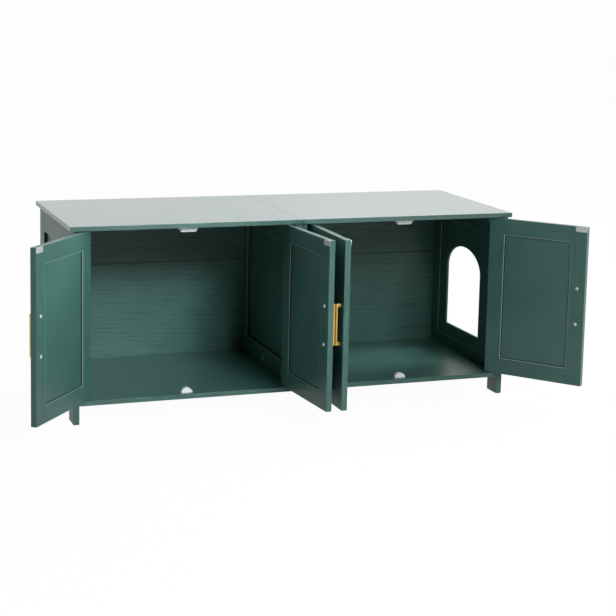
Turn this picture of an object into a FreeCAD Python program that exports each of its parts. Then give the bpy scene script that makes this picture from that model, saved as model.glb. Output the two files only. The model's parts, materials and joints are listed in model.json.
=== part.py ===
# Cat litter box cabinet: a low two-bay cupboard on four legs, with a pair of doors on each bay
# and an arched cat entry through each side.
#
# Frame: X across the front (0 at the centre seam), Y from front to back (0 at half the depth of
# the carcass), Z up (0 at the floor).  Everything is in millimetres.  The doors stand open.

import FreeCAD, Part
import os
import Sketcher

V = FreeCAD.Vector
doc = FreeCAD.newDocument("cabinet")

# ---------------------------------------------------------------- driving dimensions

DRIVING = [
    ("overall_height", 500, "floor to the top's upper face"),
    ("top_length", 1200, "both top boards together, left to right"),
    ("top_thick", 12, "top board"),
    ("top_seam", 0.6, "joint between the two top boards"),
    ("overhang_front", 6, "top past the carcass at the front"),
    ("overhang_back", 14, "top past the carcass at the back, clear of a skirting board"),
    ("overhang_side", 9, "top past each side"),
    ("body_depth", 445, "carcass, front to back"),
    ("edge_round", 0.8, "eased edge of every painted board"),
    ("side_thick", 15, "side frame"),
    ("leg_width", 56, "side stile, which runs down as the leg"),
    ("side_top_rail", 60, "height of the side's top rail"),
    ("side_bottom_rail", 44, "height of the side's bottom rail"),
    ("side_panel_thick", 5, "side panel"),
    ("side_panel_recess", 2, "side panel behind the frame's inner face"),
    ("groove_depth", 8, "grooves that hold the panels"),
    ("panel_clearance", 0.2, "panel to groove, each way"),
    ("arch_half_width", 106, "cat entry, half its width"),
    ("arch_rise", 66, "height of the half-ellipse at its head"),
    ("arch_sill", 126.5, "lower edge of the cat entry above the floor"),
    ("arch_top", 366.5, "highest point of the cat entry"),
    ("arch_setback", 13, "centre of the cat entry behind half depth"),
    ("base_height", 47, "floor to the underside of the base"),
    ("base_thick", 12, "base board"),
    ("base_seam", 0.6, "joint between the two base boards"),
    ("foot_size", 56, "centre foot, square"),
    ("back_thick", 5, "back boards"),
    ("back_inset", 4, "back boards in from the carcass's back edges"),
    ("back_seam_height", 322, "joint between upper and lower back boards"),
    ("back_seam", 0.6, "width of that joint"),
    ("back_groove", 7, "depth of the grooves that hold the back boards"),
    ("partition_thick", 30, "partition frame"),
    ("partition_stile", 46, "width of the partition's stiles"),
    ("partition_top_rail", 60, "height of its top rail"),
    ("partition_bottom_rail", 49, "height of its bottom rail"),
    ("partition_panel_thick", 9, "its panel"),
    ("door_thick", 15, "door frame"),
    ("door_gap", 2.2, "upright gaps beside and between the doors"),
    ("door_gap_top", 2, "door to the top"),
    ("door_gap_bottom", 1.5, "door to the base"),
    ("door_stile", 44, "width of a door's stiles"),
    ("door_rail", 44, "height of a door's rails"),
    ("door_panel_thick", 6, "door panel"),
    ("door_panel_recess", 4, "door panel behind the frame's inner face"),
    ("swing_clearance", 0.35, "hinge corner to the carcass as a door swings"),
    ("stop_slack", 2.06, "degrees from the outer doors' place to where they would touch"),
    ("right_inner_past", 0.5, "degrees past square of the right inner door"),
    ("handle_clearance", 1.2, "between the pulls of the two inner doors"),
    ("pin_diameter", 5, "pivot pin"),
    ("pin_in_door", 18, "pivot pin inside the hinge stile"),
    ("pin_in_bush", 7, "pivot pin inside its bush"),
    ("pin_play", 0.05, "pin to bush, radial"),
    ("bush_diameter", 8, "bush sleeve"),
    ("bush_depth", 8, "bush sleeve inside the board"),
    ("bush_flange_diameter", 13, "bush flange"),
    ("bush_flange_thick", 1.2, "bush flange"),
    ("handle_pitch", 96, "pull, hole to hole"),
    ("handle_post", 8, "pull, width of its end posts"),
    ("handle_bar_width", 9, "pull, width of the bar"),
    ("handle_bar_thick", 5, "pull, thickness of the bar"),
    ("handle_projection", 13, "pull, out from the door"),
    ("handle_round", 0.9, "rounded edges of the pull"),
    ("handle_inset", 22.5, "centre of the pull in from the door's free edge"),
    ("handle_screw_diameter", 4, "screw of the pull"),
    ("handle_screw_grip", 8, "screw of the pull inside its post"),
    ("screw_head_diameter", 9, "head of that screw"),
    ("screw_head_height", 2.2, "head of that screw"),
    ("hole_play", 0.25, "screw to its hole, radial"),
    ("plate_length", 32, "strike plate"),
    ("plate_height", 14, "strike plate"),
    ("plate_thick", 1, "strike plate"),
    ("plate_corner", 3, "strike plate, corner radius"),
    ("plate_screw_diameter", 3, "screw of the strike plate"),
    ("plate_screw_length", 10, "screw of the strike plate"),
    ("plate_head_diameter", 6, "head of that screw"),
    ("catch_top_length", 58, "magnetic catch at its foot, against the top"),
    ("catch_front_length", 37, "magnetic catch along its lower edge"),
    ("catch_height", 13.5, "magnetic catch, down from the top"),
    ("catch_depth", 14, "magnetic catch, front to back"),
    ("catch_gap", 0.3, "magnet to the strike plate of a closed door"),
    ("catch_screw_pitch", 47, "its two screws"),
    ("catch_screw_diameter", 3, "its screws"),
    ("catch_screw_bite", 8, "its screws inside the top"),
    ("catch_screw_head", 6, "head of its screws"),
    ("catch_ear", 3, "thickness left above the heads of its screws"),
    ("magnet_length", 14, "magnet block"),
    ("magnet_height", 7, "magnet block"),
    ("magnet_depth", 8, "magnet block"),
    ("magnet_proud", 0.5, "magnet block out of the housing"),
    ("magnet_pitch", 18, "between the two magnet blocks of a catch"),
    ("stop_width", 30, "door stop"),
    ("stop_height", 13, "door stop"),
    ("stop_depth", 12, "door stop"),
    ("stop_gap", 0.3, "door stop to a closed door"),
    ("stop_stem_diameter", 6, "push-in stem of the door stop"),
    ("stop_stem_length", 8, "push-in stem of the door stop"),
    ("cam_diameter", 15, "cam lock"),
    ("cam_depth", 12, "cam lock in a frame"),
    ("base_cam_depth", 9, "cam lock in the base"),
    ("cam_play", 0.1, "cam lock and bolt to their holes"),
    ("cam_setback", 20, "cam centre to the joint that it pulls up"),
    ("cam_slot_width", 1.6, "driver slot of a cam lock"),
    ("cam_slot_depth", 2, "driver slot of a cam lock"),
    ("cam_first", 81, "first cam of a row behind the front"),
    ("cam_pitch", 171, "between the two cams of a row"),
    ("bolt_diameter", 6, "cam bolt"),
    ("bolt_thread", 9, "cam bolt inside the other board"),
]

# Worked out from the driving dimensions.
DERIVED = [
    ("front_y", "-sizes.body_depth / 2"),
    ("back_y", "sizes.body_depth / 2"),
    ("top_depth", "sizes.overhang_front + sizes.body_depth + sizes.overhang_back"),
    ("top_under", "sizes.overall_height - sizes.top_thick"),
    ("side_out", "sizes.top_length / 2 - sizes.overhang_side"),
    ("side_in", "side_out - sizes.side_thick"),
    ("base_top", "sizes.base_height + sizes.base_thick"),
    ("part_half", "sizes.partition_thick / 2"),
    ("bay_middle", "(side_in + part_half) / 2"),
    ("back_face_y", "back_y - sizes.back_inset - sizes.back_thick"),
    ("door_width", "(side_in - part_half - 3 * sizes.door_gap) / 2"),
    ("door_low", "base_top + sizes.door_gap_bottom"),
    ("door_height", "top_under - sizes.door_gap_top - door_low"),
    ("door_half", "sizes.door_thick / 2"),
    ("free_turn", "sizes.door_gap - sizes.swing_clearance"),
    ("pivot_inset", "(door_half * door_half - free_turn * free_turn) / (2 * free_turn)"),
    ("pivot_y", "front_y + door_half"),
    ("outer_pivot", "side_in - sizes.door_gap - pivot_inset"),
    ("inner_pivot", "part_half + sizes.door_gap + pivot_inset"),
    ("leaf_reach", "door_width - pivot_inset"),
    ("handle_reach", "leaf_reach - sizes.handle_inset"),
    ("handle_middle", "door_low + door_height / 2"),
    ("handle_front", "door_half + sizes.handle_projection"),
    ("outer_angle", "2 * atan((sizes.door_gap + pivot_inset) / door_half) - sizes.stop_slack * 1 deg"),
    ("right_inner_angle", "90 deg + sizes.right_inner_past * 1 deg"),
    ("handles_apart", "2 * (inner_pivot - handle_front) - sizes.handle_clearance"),
    ("right_lean", "handle_reach * sin(sizes.right_inner_past * 1 deg)"),
    ("left_inner_angle", "90 deg + asin((handles_apart - right_lean) / handle_reach)"),
    ("side_panel_out", "side_in + sizes.side_panel_recess + sizes.side_panel_thick"),
    ("side_panel_low", "sizes.base_height + sizes.side_bottom_rail - sizes.groove_depth"),
    ("side_panel_high", "top_under - sizes.side_top_rail + sizes.groove_depth"),
    ("side_rail_y", "front_y + sizes.leg_width"),
    ("side_rail_length", "sizes.body_depth - 2 * sizes.leg_width"),
    ("part_panel_low", "base_top + sizes.partition_bottom_rail - sizes.groove_depth"),
    ("part_panel_high", "top_under - sizes.partition_top_rail + sizes.groove_depth"),
    ("part_rail_y", "front_y + sizes.partition_stile"),
    ("part_rail_length", "sizes.body_depth - 2 * sizes.partition_stile"),
    ("arch_spring", "sizes.arch_top - sizes.arch_rise"),
    ("door_panel_low", "door_low + sizes.door_rail - sizes.groove_depth"),
    ("door_panel_high", "door_low + door_height - sizes.door_rail + sizes.groove_depth"),
    ("door_panel_y", "door_half - sizes.door_panel_recess - sizes.door_panel_thick"),
    ("closed_face_y", "front_y + sizes.door_thick"),
    ("magnet_y", "closed_face_y + sizes.plate_thick + sizes.catch_gap"),
    ("catch_y", "magnet_y + sizes.magnet_proud"),
    ("stop_y", "closed_face_y + sizes.stop_gap"),
    ("stop_radius", "(sizes.stop_width ^ 2 / 4 + sizes.stop_height ^ 2) / (2 * sizes.stop_height)"),
    ("cam_y", "front_y + sizes.cam_first"),
    ("bolt_shank", "sizes.cam_setback - sizes.cam_diameter / 2"),
]

sizes = doc.addObject("Spreadsheet::Sheet", "sizes")
for row, (alias, value, meaning) in enumerate(DRIVING, start=1):
    sizes.set(f"A{row}", alias)
    sizes.set(f"B{row}", str(value))
    sizes.set(f"C{row}", meaning)
    sizes.setAlias(f"B{row}", alias)

plan = doc.addObject("Spreadsheet::Sheet", "plan")
for row, (alias, formula) in enumerate(DERIVED, start=1):
    plan.set(f"A{row}", alias)
    plan.setAlias(f"B{row}", alias)
for row, (alias, formula) in enumerate(DERIVED, start=1):
    plan.set(f"B{row}", "=" + formula)
doc.recompute()

SIZE_NAMES = {alias for alias, value, meaning in DRIVING}
PLAN_NAMES = {alias for alias, formula in DERIVED}


def cells(text):
    """Write an expression with the plain aliases in it as one that names their sheets."""
    words = []
    word = ""
    for letter in text + " ":
        if letter.isalnum() or letter == "_":
            word += letter
            continue
        if word in SIZE_NAMES:
            word = "sizes." + word
        elif word in PLAN_NAMES:
            word = "plan." + word
        words.append(word + letter)
        word = ""
    return "".join(words).strip()


def bind(thing, values):
    """Bind properties of an object to expressions."""
    for name, text in values.items():
        thing.setExpression(name, cells(str(text)))


def put(thing, x, y, z):
    """Bind the place of an object."""
    bind(thing, {".Placement.Base.x": x, ".Placement.Base.y": y, ".Placement.Base.z": z})


# ---------------------------------------------------------------- boards, cut and drilled

PLANE_AXES = {
    "XY_Plane": lambda x, y, z: (x, y, z),
    "XZ_Plane": lambda x, y, z: (x, z, f"-({y})"),
    "YZ_Plane": lambda x, y, z: (y, z, x),
}
parts = {}


def sketch_on(body, plane, corner):
    """A sketch on one of the body's own planes, with its origin at a corner (x, y, z)."""
    sketch = body.newObject("Sketcher::SketchObject", body.Name + "_sketch")
    support = [item for item in body.Origin.OriginFeatures if item.Role == plane][0]
    sketch.AttachmentSupport = [(support, "")]
    sketch.MapMode = "FlatFace"
    across, up, out = PLANE_AXES[plane](*corner)
    bind(sketch, {"AttachmentOffset.Base.x": across, "AttachmentOffset.Base.y": up,
                  "AttachmentOffset.Base.z": out})
    return sketch


def rectangle(sketch, width, height):
    """A rectangle from the sketch's origin, with both sides bound."""
    corners = [V(0, 0, 0), V(1, 0, 0), V(1, 1, 0), V(0, 1, 0)]
    for start, end in zip(corners, corners[1:] + corners[:1]):
        sketch.addGeometry(Part.LineSegment(start, end), False)
    for line in range(4):
        sketch.addConstraint(Sketcher.Constraint("Coincident", line, 2, (line + 1) % 4, 1))
        direction = "Vertical" if line % 2 else "Horizontal"
        sketch.addConstraint(Sketcher.Constraint(direction, line))
    sketch.addConstraint(Sketcher.Constraint("Coincident", 0, 1, -1, 1))
    wide = sketch.addConstraint(Sketcher.Constraint("DistanceX", 0, 1, 0, 2, 1))
    sketch.renameConstraint(wide, "width")
    high = sketch.addConstraint(Sketcher.Constraint("DistanceY", 1, 1, 1, 2, 1))
    sketch.renameConstraint(high, "height")
    bind(sketch, {"Constraints.width": width, "Constraints.height": height})


def add_part(thing, label):
    """Name a sub-part; its label is also its file's name."""
    thing.Label = label
    parts[label] = thing


def round_edges(body, radius, direction=None):
    """Round every edge of a body so far, or only the edges along a direction."""
    doc.recompute()
    tip = body.Tip
    chosen = []
    for number, edge in enumerate(tip.Shape.Edges, start=1):
        along_edge = edge.tangentAt(edge.FirstParameter)
        if direction is None or abs(along_edge.dot(direction)) > 0.5:
            chosen.append(f"Edge{number}")
    rounding = body.newObject("PartDesign::Fillet", body.Name + "_rounding")
    rounding.Base = (tip, chosen)
    bind(rounding, {"Radius": radius})


def board(label, corner, size, eased=True):
    """A board from its lowest corner, with eased edges."""
    body = doc.addObject("PartDesign::Body", label)
    sketch = sketch_on(body, "XY_Plane", corner)
    rectangle(sketch, size[0], size[1])
    pad = body.newObject("PartDesign::Pad", label + "_pad")
    pad.Profile = sketch
    bind(pad, {"Length": size[2]})
    if eased:
        round_edges(body, "edge_round")
    return body


def cut_slot(body, corner, size):
    """Cut a box-shaped groove, given by its lowest corner, into a board."""
    x, y, z = corner
    sketch = sketch_on(body, "XY_Plane", (x, y, f"{z} + {size[2]}"))
    rectangle(sketch, size[0], size[1])
    pocket = body.newObject("PartDesign::Pocket", body.Name + "_slot")
    pocket.Profile = sketch
    bind(pocket, {"Length": size[2]})


def drill(body, plane, mouth, diameter, depth, inward=False, pitch=None, pitch_up=False):
    """Drill a hole at its mouth, and a second one a pitch along; inward is along the plane's normal."""
    sketch = sketch_on(body, plane, mouth)
    sketch.addGeometry(Part.Circle(V(0, 0, 0), V(0, 0, 1), 1), False)
    sketch.addConstraint(Sketcher.Constraint("Coincident", 0, 3, -1, 1))
    wide = sketch.addConstraint(Sketcher.Constraint("Diameter", 0, 2))
    sketch.renameConstraint(wide, "bore")
    bind(sketch, {"Constraints.bore": diameter})
    if pitch is not None:
        place = V(0, 5, 0) if pitch_up else V(5, 0, 0)
        sketch.addGeometry(Part.Circle(place, V(0, 0, 1), 1), False)
        sketch.addConstraint(Sketcher.Constraint("Equal", 0, 1))
        level = "Vertical" if pitch_up else "Horizontal"
        sketch.addConstraint(Sketcher.Constraint(level, 0, 3, 1, 3))
        kind = "DistanceY" if pitch_up else "DistanceX"
        apart = sketch.addConstraint(Sketcher.Constraint(kind, 0, 3, 1, 3, 5))
        sketch.renameConstraint(apart, "pitch")
        bind(sketch, {"Constraints.pitch": pitch})
    pocket = body.newObject("PartDesign::Pocket", body.Name + "_hole")
    pocket.Profile = sketch
    pocket.Reversed = inward
    bind(pocket, {"Length": depth})


def cylinder(name, centre, diameter, length, axis="Z"):
    """A cylinder from the middle of its lower, left or front end."""
    rod = doc.addObject("Part::Cylinder", name)
    turns = {"X": FreeCAD.Rotation(V(0, 1, 0), 90), "Y": FreeCAD.Rotation(V(1, 0, 0), -90)}
    if axis in turns:
        rod.Placement.Rotation = turns[axis]
    bind(rod, {"Radius": f"({diameter}) / 2", "Height": length})
    put(rod, *centre)
    return rod


def cone(name, centre, low_radius, high_radius, length, axis="Z"):
    """A cone from the middle of its lower or front end."""
    taper = doc.addObject("Part::Cone", name)
    if axis == "Y":
        taper.Placement.Rotation = FreeCAD.Rotation(V(1, 0, 0), -90)
    bind(taper, {"Radius1": low_radius, "Radius2": high_radius, "Height": length})
    put(taper, *centre)
    return taper


def block(name, corner, size):
    """A box from its lowest corner."""
    box = doc.addObject("Part::Box", name)
    bind(box, {"Length": size[0], "Width": size[1], "Height": size[2]})
    put(box, *corner)
    return box


def cut(name, base, tool):
    """One solid less another."""
    result = doc.addObject("Part::Cut", name)
    result.Base = base
    result.Tool = tool
    return result


def fuse(name, *pieces):
    """Solids joined into one."""
    result = doc.addObject("Part::MultiFuse", name)
    result.Shapes = list(pieces)
    return result


def group(label, pieces):
    """Like pieces that share one node as separate solids."""
    result = doc.addObject("Part::Compound", label)
    result.Links = pieces
    add_part(result, label)
    return result


SIDES = (("left", -1), ("right", 1))


def from_left(side, inner, width):
    """Lowest X of a piece that starts a distance from the centre and runs outwards."""
    return f"({inner})" if side > 0 else f"-({inner}) - ({width})"


# ---------------------------------------------------------------- top
# Two boards that meet over the partition.  Their undersides take the door bushes, the bolts of
# the frames below and the screws of the catches.

half_top = "top_length / 2 - top_seam / 2"
for name, side in SIDES:
    top = board(f"top_{name}", (from_left(side, "top_seam / 2", half_top), "front_y - overhang_front",
                                "top_under"), (half_top, "top_depth", "top_thick"))
    for pivot in ("outer_pivot", "inner_pivot"):
        drill(top, "XY_Plane", (f"{side} * {pivot}", "pivot_y", "top_under"),
              "bush_diameter", "bush_depth", inward=True)
    for bolt_x in ("(side_in + side_out) / 2", "part_half / 2"):
        for place in ("cam_y", "cam_y + cam_pitch"):
            drill(top, "XY_Plane", (f"{side} * {bolt_x}", place, "top_under"),
                  "bolt_diameter + 2 * cam_play", "bolt_thread", inward=True)
    drill(top, "XY_Plane", (f"{side} * bay_middle - catch_screw_pitch / 2", "catch_y + catch_depth / 2",
                            "top_under"),
          "catch_screw_diameter", "catch_screw_bite", inward=True, pitch="catch_screw_pitch")
    add_part(top, f"top_{name}")

# ---------------------------------------------------------------- side frames
# Front and back legs, a rail between them at the top and at the base, and a thin panel in their
# grooves with the arched cat entry through it.

groove_wide = "side_panel_thick + 2 * panel_clearance"
for name, side in SIDES:
    frame_x = from_left(side, "side_in", "side_thick")
    panel_x = from_left(side, "side_in + side_panel_recess", "side_panel_thick")
    groove_x = f"{panel_x} - panel_clearance"
    groove_z = "side_panel_low"
    groove_high = "side_panel_high - side_panel_low"

    leg = board(f"side_{name}_front_leg", (frame_x, "front_y", "0"),
                ("side_thick", "leg_width", "top_under"))
    cut_slot(leg, (groove_x, "side_rail_y - groove_depth", groove_z),
             (groove_wide, "groove_depth + 1", groove_high))
    add_part(leg, f"side_{name}_front_leg")

    leg = board(f"side_{name}_back_leg", (frame_x, "back_y - leg_width", "0"),
                ("side_thick", "leg_width", "top_under"))
    cut_slot(leg, (groove_x, "back_y - leg_width - 1", groove_z),
             (groove_wide, "groove_depth + 1", groove_high))
    back_slot_x = from_left(side, "side_in - 1", "back_groove + 1")
    cut_slot(leg, (back_slot_x, "back_face_y - panel_clearance", "base_height"),
             ("back_groove + 1", "back_thick + 2 * panel_clearance", "top_under - base_height + 1"))
    add_part(leg, f"side_{name}_back_leg")

    top_rail = board(f"side_{name}_top_rail", (frame_x, "side_rail_y", "top_under - side_top_rail"),
                     ("side_thick", "side_rail_length", "side_top_rail"))
    cut_slot(top_rail, (groove_x, "side_rail_y - 1", "top_under - side_top_rail - 1"),
             (groove_wide, "side_rail_length + 2", "groove_depth + 1"))
    drill(top_rail, "YZ_Plane", (f"{side} * side_in", "cam_y", "top_under - cam_setback"),
          "cam_diameter + 2 * cam_play", "cam_depth", inward=side > 0, pitch="cam_pitch")
    for place in ("cam_y", "cam_y + cam_pitch"):
        drill(top_rail, "XY_Plane", (f"{side} * (side_in + side_out) / 2", place, "top_under"),
              "bolt_diameter + 2 * cam_play", "cam_setback")

    bottom_rail = board(f"side_{name}_bottom_rail", (frame_x, "side_rail_y", "base_height"),
                        ("side_thick", "side_rail_length", "side_bottom_rail"))
    cut_slot(bottom_rail, (groove_x, "side_rail_y - 1", "side_panel_low"),
             (groove_wide, "side_rail_length + 2", "groove_depth + 1"))
    drill(bottom_rail, "YZ_Plane", (f"{side} * side_in", "cam_y", "base_height + base_thick / 2"),
          "bolt_diameter + 2 * cam_play", "bolt_thread", inward=side > 0, pitch="cam_pitch")
    group(f"side_{name}_rails", [top_rail, bottom_rail])

    panel_box = block(f"side_{name}_panel_board",
                      (panel_x, "side_rail_y - groove_depth + panel_clearance",
                       "side_panel_low + panel_clearance"),
                      ("side_panel_thick", "side_rail_length + 2 * groove_depth - 2 * panel_clearance",
                       "side_panel_high - side_panel_low - 2 * panel_clearance"))
    head = doc.addObject("Part::Ellipse", f"side_{name}_arch_line")
    head.Placement.Rotation = FreeCAD.Rotation(V(0, 0, 1), V(1, 0, 0)) * FreeCAD.Rotation(V(0, 0, 1), 90)
    bind(head, {"MajorRadius": "arch_half_width", "MinorRadius": "arch_rise"})
    put(head, f"{panel_x} - 1", "arch_setback", "arch_spring")
    arch_head = doc.addObject("Part::Extrusion", f"side_{name}_arch_head")
    arch_head.Base = head
    arch_head.DirMode = "Custom"
    arch_head.Dir = V(1, 0, 0)
    arch_head.Solid = True
    bind(arch_head, {"LengthFwd": "side_panel_thick + 2"})
    arch_foot = block(f"side_{name}_arch_foot", (f"{panel_x} - 1", "arch_setback - arch_half_width",
                                                 "arch_sill"),
                      ("side_panel_thick + 2", "2 * arch_half_width", "arch_spring - arch_sill"))
    entry = fuse(f"side_{name}_entry", arch_head, arch_foot)
    add_part(cut(f"side_{name}_panel", panel_box, entry), f"side_{name}_panel")

# ---------------------------------------------------------------- base and centre foot
# Two boards between the sides, held by cams in their undersides, and a foot under their joint.

half_base = "side_in - base_seam / 2"
for name, side in SIDES:
    base = board(f"base_{name}", (from_left(side, "base_seam / 2", half_base), "front_y", "base_height"),
                 (half_base, "back_face_y - front_y", "base_thick"))
    for pivot in ("outer_pivot", "inner_pivot"):
        drill(base, "XY_Plane", (f"{side} * {pivot}", "pivot_y", "base_top"),
              "bush_diameter", "bush_depth")
    for place in ("cam_y", "cam_y + cam_pitch"):
        drill(base, "XY_Plane", (f"{side} * part_half / 2", place, "base_top"),
              "bolt_diameter + 2 * cam_play", "bolt_thread")
        drill(base, "XY_Plane", (f"{side} * (side_in - cam_setback)", place, "base_height"),
              "cam_diameter + 2 * cam_play", "base_cam_depth", inward=True)
    drill(base, "YZ_Plane", (f"{side} * side_in", "cam_y", "base_height + base_thick / 2"),
          "bolt_diameter + 2 * cam_play", "cam_setback", inward=side < 0, pitch="cam_pitch")
    drill(base, "XY_Plane", (f"{side} * bay_middle", "stop_y + stop_depth / 2", "base_top"),
          "stop_stem_diameter", "stop_stem_length")
    add_part(base, f"base_{name}")

foot = board("centre_foot", ("-foot_size / 2", "-foot_size / 2", "0"),
             ("foot_size", "foot_size", "base_height"))
add_part(foot, "centre_foot")

# ---------------------------------------------------------------- partition
# A thicker frame that stands on the joint of the base and carries the joint of the top.

part_groove = "partition_panel_thick + 2 * panel_clearance"
part_groove_x = f"-({part_groove}) / 2"
part_high = "top_under - base_top"

for label, low_y, groove_y in (
        ("partition_front_stile", "front_y", "part_rail_y - groove_depth"),
        ("partition_back_stile", "back_y - partition_stile", "back_y - partition_stile - 1")):
    stile = board(label, ("-part_half", low_y, "base_top"),
                  ("partition_thick", "partition_stile", part_high))
    cut_slot(stile, (part_groove_x, groove_y, "part_panel_low"),
             (part_groove, "groove_depth + 1", "part_panel_high - part_panel_low"))
    if label == "partition_back_stile":
        for name, side in SIDES:
            cut_slot(stile, (from_left(side, "part_half - back_groove", "back_groove + 1"),
                             "back_face_y - panel_clearance", "base_top - 1"),
                     ("back_groove + 1", "back_thick + 2 * panel_clearance", f"{part_high} + 2"))
    add_part(stile, label)

rails = []
for level, low_z, high, joint_z, cam_z, groove_z in (
        ("top", "top_under - partition_top_rail", "partition_top_rail", "top_under",
         "top_under - cam_setback", "top_under - partition_top_rail - 1"),
        ("bottom", "base_top", "partition_bottom_rail", "base_top",
         "base_top + cam_setback", "part_panel_low")):
    rail = board(f"partition_{level}_rail", ("-part_half", "part_rail_y", low_z),
                 ("partition_thick", "part_rail_length", high))
    cut_slot(rail, (part_groove_x, "part_rail_y - 1", groove_z),
             (part_groove, "part_rail_length + 2", "groove_depth + 1"))
    for name, side in SIDES:
        drill(rail, "YZ_Plane", (f"{side} * part_half", "cam_y", cam_z),
              "cam_diameter + 2 * cam_play", "cam_depth", inward=side < 0, pitch="cam_pitch")
        for place in ("cam_y", "cam_y + cam_pitch"):
            drill(rail, "XY_Plane", (f"{side} * part_half / 2", place, joint_z),
                  "bolt_diameter + 2 * cam_play", "cam_setback", inward=level == "bottom")
    rails.append(rail)
group("partition_rails", rails)

panel = board("partition_panel", ("-partition_panel_thick / 2",
                                  "part_rail_y - groove_depth + panel_clearance",
                                  "part_panel_low + panel_clearance"),
              ("partition_panel_thick", "part_rail_length + 2 * groove_depth - 2 * panel_clearance",
               "part_panel_high - part_panel_low - 2 * panel_clearance"), eased=False)
add_part(panel, "partition_panel")

# ---------------------------------------------------------------- back wall
# In each bay a lower and an upper board, slid into the grooves of the back leg and the partition.

back_inner = "part_half - back_groove + panel_clearance"
back_wide = "side_in - part_half + 2 * back_groove - 2 * panel_clearance"
for name, side in SIDES:
    back_x = from_left(side, back_inner, back_wide)
    for level, low_z, high_z in (("lower", "base_height", "back_seam_height"),
                                 ("upper", "back_seam_height + back_seam", "top_under")):
        back = board(f"back_{level}_{name}", (back_x, "back_face_y", low_z),
                     (back_wide, "back_thick", f"{high_z} - ({low_z})"), eased=False)
        add_part(back, f"back_{level}_{name}")

# ---------------------------------------------------------------- doors
# Each door is drawn closed, with its pivot axis at the local origin and its free edge towards +X
# (hand 1) or -X (hand -1), and then set at its open angle.

DOORS = (
    ("left_outer", 1, "-outer_pivot", "-outer_angle"),
    ("left_inner", -1, "-inner_pivot", "left_inner_angle"),
    ("right_inner", 1, "inner_pivot", "-right_inner_angle"),
    ("right_outer", -1, "outer_pivot", "outer_angle"),
)


def hang(thing, pivot_x, angle):
    """Set a door's piece on its pivot axis at its open angle."""
    turn = f"rotation(vector(0; 0; 1); {angle})"
    bind(thing, {"Placement": f"placement(vector({pivot_x}; pivot_y; 0); {turn})"})


def along(hand, start, width):
    """Lowest local X of a piece that starts a distance from the pivot towards the free edge."""
    return f"({start})" if hand > 0 else f"-({start}) - ({width})"


panel_slot = "door_panel_thick + 2 * panel_clearance"
panel_slot_y = "door_panel_y - panel_clearance"
rail_start = "door_stile - pivot_inset"
rail_wide = "door_width - 2 * door_stile"

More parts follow.
